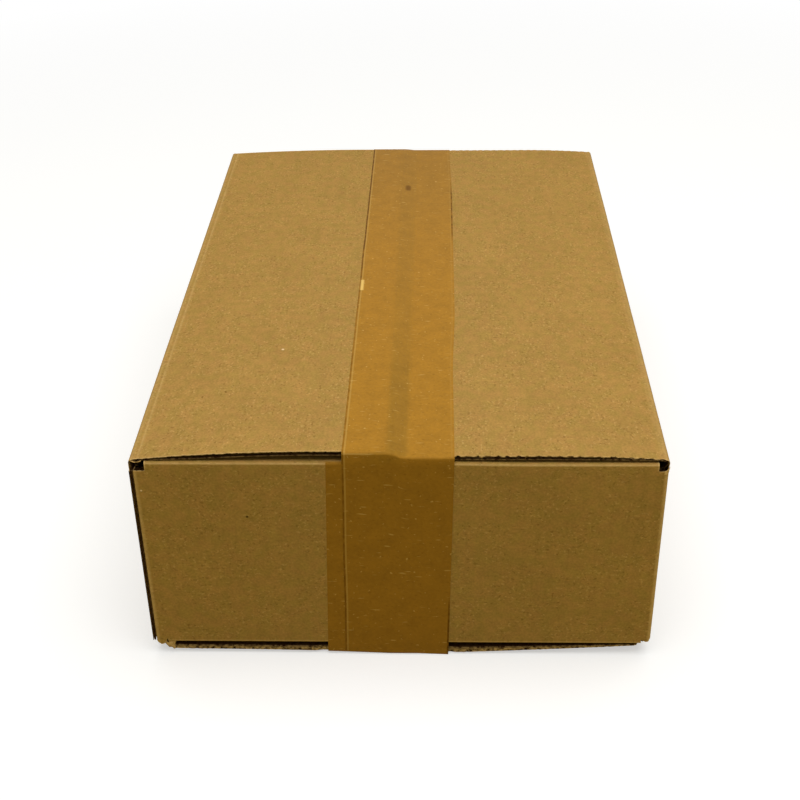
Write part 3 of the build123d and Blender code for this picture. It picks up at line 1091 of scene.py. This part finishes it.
class PARCEL_OT_top_tape(bpy.types.Operator):
    """Lay the top strip over the seam and down both ends"""

    bl_idname = "parcel.top_tape"
    bl_label = "Top Tape"

    # where its middle lies, how far its front tail leans, and its gap to what it lies on
    MIDDLE, LEAN, CLEAR = 0.5 * MM, -2.2 * MM, 0.02 * MM
    # heights of the front tail's end at its left and right corner
    TAIL_END = (2.2 * MM, 0.12 * MM)
    # in millimetres, how far the right edge stands out at the front and further back, how far it
    # draws in again at the back, and how much the left edge wavers
    OUT_FRONT, OUT_BACK, DRAWN_IN, WAVER = -0.5, 1.0, 0.9, 0.3
    WAVER_RUN = 35 * MM
    # the crumple of its bend over the seam, the size of its folds and where its middle is
    CRUMPLE, CRUMPLE_RUN, CRUMPLE_AT = 0.45 * MM, 3 * MM, -5 * MM
    # across from the strip's middle, from where to where along the parcel, radius and colour
    MARKS = (
        (-1.5 * MM, 110.5 * MM, 115.5 * MM, 2.2 * MM, "7A5006"),
        # a painted glint on a small fold at the strip's left edge
        (-23.2 * MM, -24.0 * MM, -13.5 * MM, 1.2 * MM, "F5CC72"),
    )
    MARK_STEP = 1.25 * MM

    def execute(self, context):
        tape = context.scene.parcel_tape
        sizes = context.scene.parcel_carton
        blank = Blank(sizes)
        # the tails lie on those of the bottom strip
        out = HALF_LENGTH + self.CLEAR + tape.film + 2 * self.CLEAR
        shoulder = blank.end_fold["front"] - 1.8 * MM
        half_seam = sizes.seam_gap / 2

        def across(share, v):
            wide = between(self.OUT_FRONT, self.OUT_BACK, smooth(-110 * MM, -40 * MM, v))
            wide -= self.DRAWN_IN * smooth(100 * MM, 170 * MM, v)
            waver = self.WAVER * ripple((v, 0, 0), self.WAVER_RUN, 12) * (0.5 - share)
            return self.MIDDLE + share * tape.width + (wide * (0.5 + share) + waver) * MM

        def place(share, row, lift):
            x = across(share, row.v)
            if row.part == "flat":
                z = blank.level(x, row.value)
                return x, row.value, z - blank.sink(x, row.value, z) + self.CLEAR + lift
            lip = row.end * (HALF_LENGTH - tape.bend)
            top = blank.level(x, lip)
            top += self.CLEAR - blank.sink(x, lip, top)
            if row.part == "bend":
                angle = row.value * pi / 2
                reach = tape.bend + lift
                side = out - tape.bend - blank.sink(x, row.end * HALF_LENGTH, top)
                folds = 0.5 + ripple((x, 0, 0), self.CRUMPLE_RUN, 60)
                crumple = self.CRUMPLE * folds * sin(2 * angle)
                crumple *= smooth(12 * MM, 3 * MM, abs(x - self.CRUMPLE_AT))
                z = top - tape.bend + reach * cos(angle) - max(0, crumple)
                return x, row.end * (side + reach * sin(angle)), z
            tail_end = blank.top_fold - tape.back_tail
            if row.end < 0:
                tail_end = between(*self.TAIL_END, share + 0.5)
                x += self.LEAN * row.value
            z = between(top - tape.bend, tail_end, row.value)
            return x, row.end * (out + lift - blank.sink(x, row.end * HALF_LENGTH, z)), z

        # painted shade over the seam, most at the front, and over more and more of the width towards
        # the back
        def hollow(co, row):
            if row.end < 0:
                return 0.6 * smooth(12 * MM, 3 * MM, abs(co.x + 6 * MM))
            seam = 1 - smooth(half_seam - 1.7 * MM, half_seam + 1.1 * MM, abs(co.x + 0.4 * MM))
            seam *= between(1, 0.5, smooth(-120 * MM, -60 * MM, co.y))
            return between(seam, 1, 0.55 * smooth(0, 175 * MM, co.y))

        # painted shade on the tails below their bends, and a little towards the back of the top
        def pressed(co, row):
            if row.part == "flat":
                return 0.3 * smooth(20 * MM, 175 * MM, co.y)
            return 1 - smooth(shoulder, shoulder + 3 * MM, co.z)

        # painted highlight at the left of the front bend, where it turns down
        def crest(co, row):
            if row.part != "bend" or row.end > 0 or row.value < 0.6:
                return 0
            return 0.35 * (1 - smooth(-12 * MM, -9 * MM, co.x))

        # along the left edge most, and along the right one only on the top and at the back
        def shine(co, row):
            if co.x > 0:
                return 0 if row.end < 0 else 0.06
            return 0.25 if row.end < 0 else 0.22

        # painted shadow along both edges, but not at the back and not the whole way at the right
        def grimy(co, row):
            if row.end > 0:
                return 0
            if row.end < 0:
                return 0.5 if co.x < 0 else 0.8 * smooth(40 * MM, 20 * MM, co.z)
            if co.x > 0:
                return 0.7 * smooth(30 * MM, 60 * MM, co.y) * smooth(130 * MM, 100 * MM, co.y)
            return between(0.4, 1, smooth(-60 * MM, 60 * MM, co.y))

        marks = [
            ((off_middle, v), radius, hex_colour)
            for off_middle, start, end, radius, hex_colour in self.MARKS
            for v in spaced(start, end, self.MARK_STEP)
        ]
        lay_strip(
            context, "top_tape_film", "top_tape", spaced(-0.5, 0.5, 0.02),
            strip_rows(blank.top_fold, tape.back_tail, tape.bend, 3 * MM, 1.5 * MM), place,
            dict(zip(TAPE_MARKS, (hollow, pressed, crest, shine, grimy))), marks,
        )
        return {"FINISHED"}


class PARCEL_OT_bottom_tape(bpy.types.Operator):
    """Lay the bottom strip under the seam and up both ends"""

    bl_idname = "parcel.bottom_tape"
    bl_label = "Bottom Tape"

    MIDDLE, LEAN, CLEAR = -9.9 * MM, 3.3 * MM, 0.02 * MM
    # how far the front tail's end stays below the fold
    FRONT_END_DROP = 0.12 * MM
    # share of the fold's curve that the front tail's end follows
    HUG = 0.95
    # its bends lie as deep as the ends' faces do at this height
    FOOT = 3 * MM

    def execute(self, context):
        tape = context.scene.parcel_tape
        blank = Blank(context.scene.parcel_carton)
        crest = blank.sizes.end_radius
        fold = blank.end_fold["front"]
        front_end = fold - self.FRONT_END_DROP

        def under(x):
            panel = "left" if x < 0 else "right"
            face = blank.under(panel, min(blank.flap_length, HALF_WIDTH - abs(x)))
            return max(0, face - tape.film - self.CLEAR)

        def place(share, row, lift):
            x = self.MIDDLE + share * tape.width
            low = under(x)
            inside = tape.film - lift
            if row.part == "flat":
                return x, row.value, low + inside
            side = row.end * HALF_LENGTH
            out = HALF_LENGTH + self.CLEAR
            if row.part == "bend":
                angle = row.value * pi / 2
                reach = tape.bend - inside
                out += tape.film - tape.bend - blank.sink(x, side, self.FOOT)
                return x, row.end * (out + reach * sin(angle)), low + tape.bend - reach * cos(angle)
            tail_end = front_end if row.end < 0 else tape.bottom_back_tail
            z = between(low + tape.bend, tail_end, row.value)
            out += lift - blank.sink(x, side, z)
            if row.end < 0:
                x += self.LEAN * row.value
                rise = max(0, z - fold + crest)
                out -= self.HUG * (crest - sqrt(crest**2 - rise**2))
            return x, row.end * out, z

        lay_strip(
            context, "bottom_tape_film", "bottom_tape", spaced(-0.5, 0.5, 0.04),
            strip_rows(front_end, tape.bottom_back_tail, tape.bend, 12 * MM, 0.4 * MM), place,
            # the whole strip darker, the painted shade of its upright tail
            {"pressed": lambda co, row: 1},
        )
        return {"FINISHED"}


class PARCEL_OT_stage(bpy.types.Operator):
    """Set up the floor, the soft studio light and the camera"""

    bl_idname = "parcel.stage"
    bl_label = "Stage"

    # found by fitting a camera to the carton's corners
    CAMERA = Vector((17.007, -653.324, 440.845)) * MM
    YAW, PITCH, ROLL = 1.8608, 32.0904, -0.98035
    LENS = 60.38
    # half the side of the floor
    FLOOR = 6
    # strength of the room's light on the parcel, where the camera sees 1
    ROOM_LIGHT = 0.28
    # place, target, size in metres, power in watts and the setting with its tint, if it has one
    SOFTBOXES = (
        ("overhead_softbox", (0.12, -0.25, 1.5), (0, -0.25, 0.1), 1.6, 19.0, None),
        ("front_softbox", (0.3, -1.9, 0.6), (0, 0, 0.05), 1.0, 0.9, "window"),
    )

    def execute(self, context):
        scene = context.scene
        colours = scene.parcel_colours
        mesh = bmesh.new()
        bmesh.ops.create_grid(mesh, x_segments=1, y_segments=1, size=self.FLOOR)
        data = bpy.data.meshes.new("floor")
        mesh.to_mesh(data)
        mesh.free()
        data.materials.append(studio_floor(colours))
        floor = bpy.data.objects.new("floor", data)
        scene.collection.objects.link(floor)

        for name, place, target, size, power, tint in self.SOFTBOXES:
            light = bpy.data.lights.new(name, "AREA")
            light.shape = "SQUARE"
            light.size = size
            light.energy = power
            light.color = getattr(colours, tint) if tint else (1, 1, 1)
            lamp = bpy.data.objects.new(name, light)
            scene.collection.objects.link(lamp)
            aim = (Vector(target) - Vector(place)).to_track_quat("-Z", "Y")
            lamp.matrix_world = Matrix.Translation(place) @ aim.to_matrix().to_4x4()

        world = bpy.data.worlds.new("studio")
        world.use_nodes = True
        tree = world.node_tree
        tree.nodes.clear()
        unseen = lighting_ray(tree)
        tint = laid_over(tree, (1, 1, 1, 1), [((unseen,), colours.room)])
        strength = add(tree, "MapRange", {"Value": unseen, "To Min": 1.0, "To Max": self.ROOM_LIGHT})
        sky = add(tree, "Background", {"Color": tint, "Strength": strength})
        add(tree, "OutputWorld", {"Surface": sky})
        scene.world = world
        scene.view_settings.view_transform = "Standard"

        lens = bpy.data.cameras.new("camera")
        lens.sensor_width = 36
        lens.lens = self.LENS
        camera = bpy.data.objects.new("camera", lens)
        scene.collection.objects.link(camera)
        camera.matrix_world = (
            Matrix.Translation(self.CAMERA)
            @ Matrix.Rotation(radians(self.YAW), 4, "Z")
            @ Matrix.Rotation(radians(90 - self.PITCH), 4, "X")
            @ Matrix.Rotation(radians(self.ROLL), 4, "Z")
        )
        scene.camera = camera
        return {"FINISHED"}


OPERATORS = (
    PARCEL_OT_facings,
    PARCEL_OT_fluting,
    PARCEL_OT_scraps,
    PARCEL_OT_top_tape,
    PARCEL_OT_bottom_tape,
    PARCEL_OT_stage,
)


class PARCEL_PT_parcel(bpy.types.Panel):
    """Lists the parcel's pieces, sizes and colours"""

    bl_idname = "PARCEL_PT_parcel"
    bl_label = "Taped Parcel"
    bl_space_type = "VIEW_3D"
    bl_region_type = "UI"
    bl_category = "Parcel"

    def draw(self, context):
        for operator in OPERATORS:
            self.layout.operator(operator.bl_idname)
        for name in GROUPS:
            settings = getattr(context.scene, name)
            box = self.layout.box()
            for setting in settings.__annotations__:
                box.prop(settings, setting)


GROUPS = {
    "parcel_carton": CartonSizes,
    "parcel_tape": TapeSizes,
    "parcel_colours": ParcelColours,
}
CLASSES = (*GROUPS.values(), *OPERATORS, PARCEL_PT_parcel)


def register():
    for made in CLASSES:
        bpy.utils.register_class(made)
    for name, group in GROUPS.items():
        setattr(bpy.types.Scene, name, PointerProperty(type=group))


def unregister():
    for name in GROUPS:
        delattr(bpy.types.Scene, name)
    for made in reversed(CLASSES):
        bpy.utils.unregister_class(made)


def main():
    register()
    bpy.ops.parcel.facings()
    bpy.ops.parcel.fluting()
    bpy.ops.parcel.scraps()
    bpy.ops.parcel.top_tape()
    bpy.ops.parcel.bottom_tape()
    bpy.ops.parcel.stage()


if __name__ == "__main__":
    main()
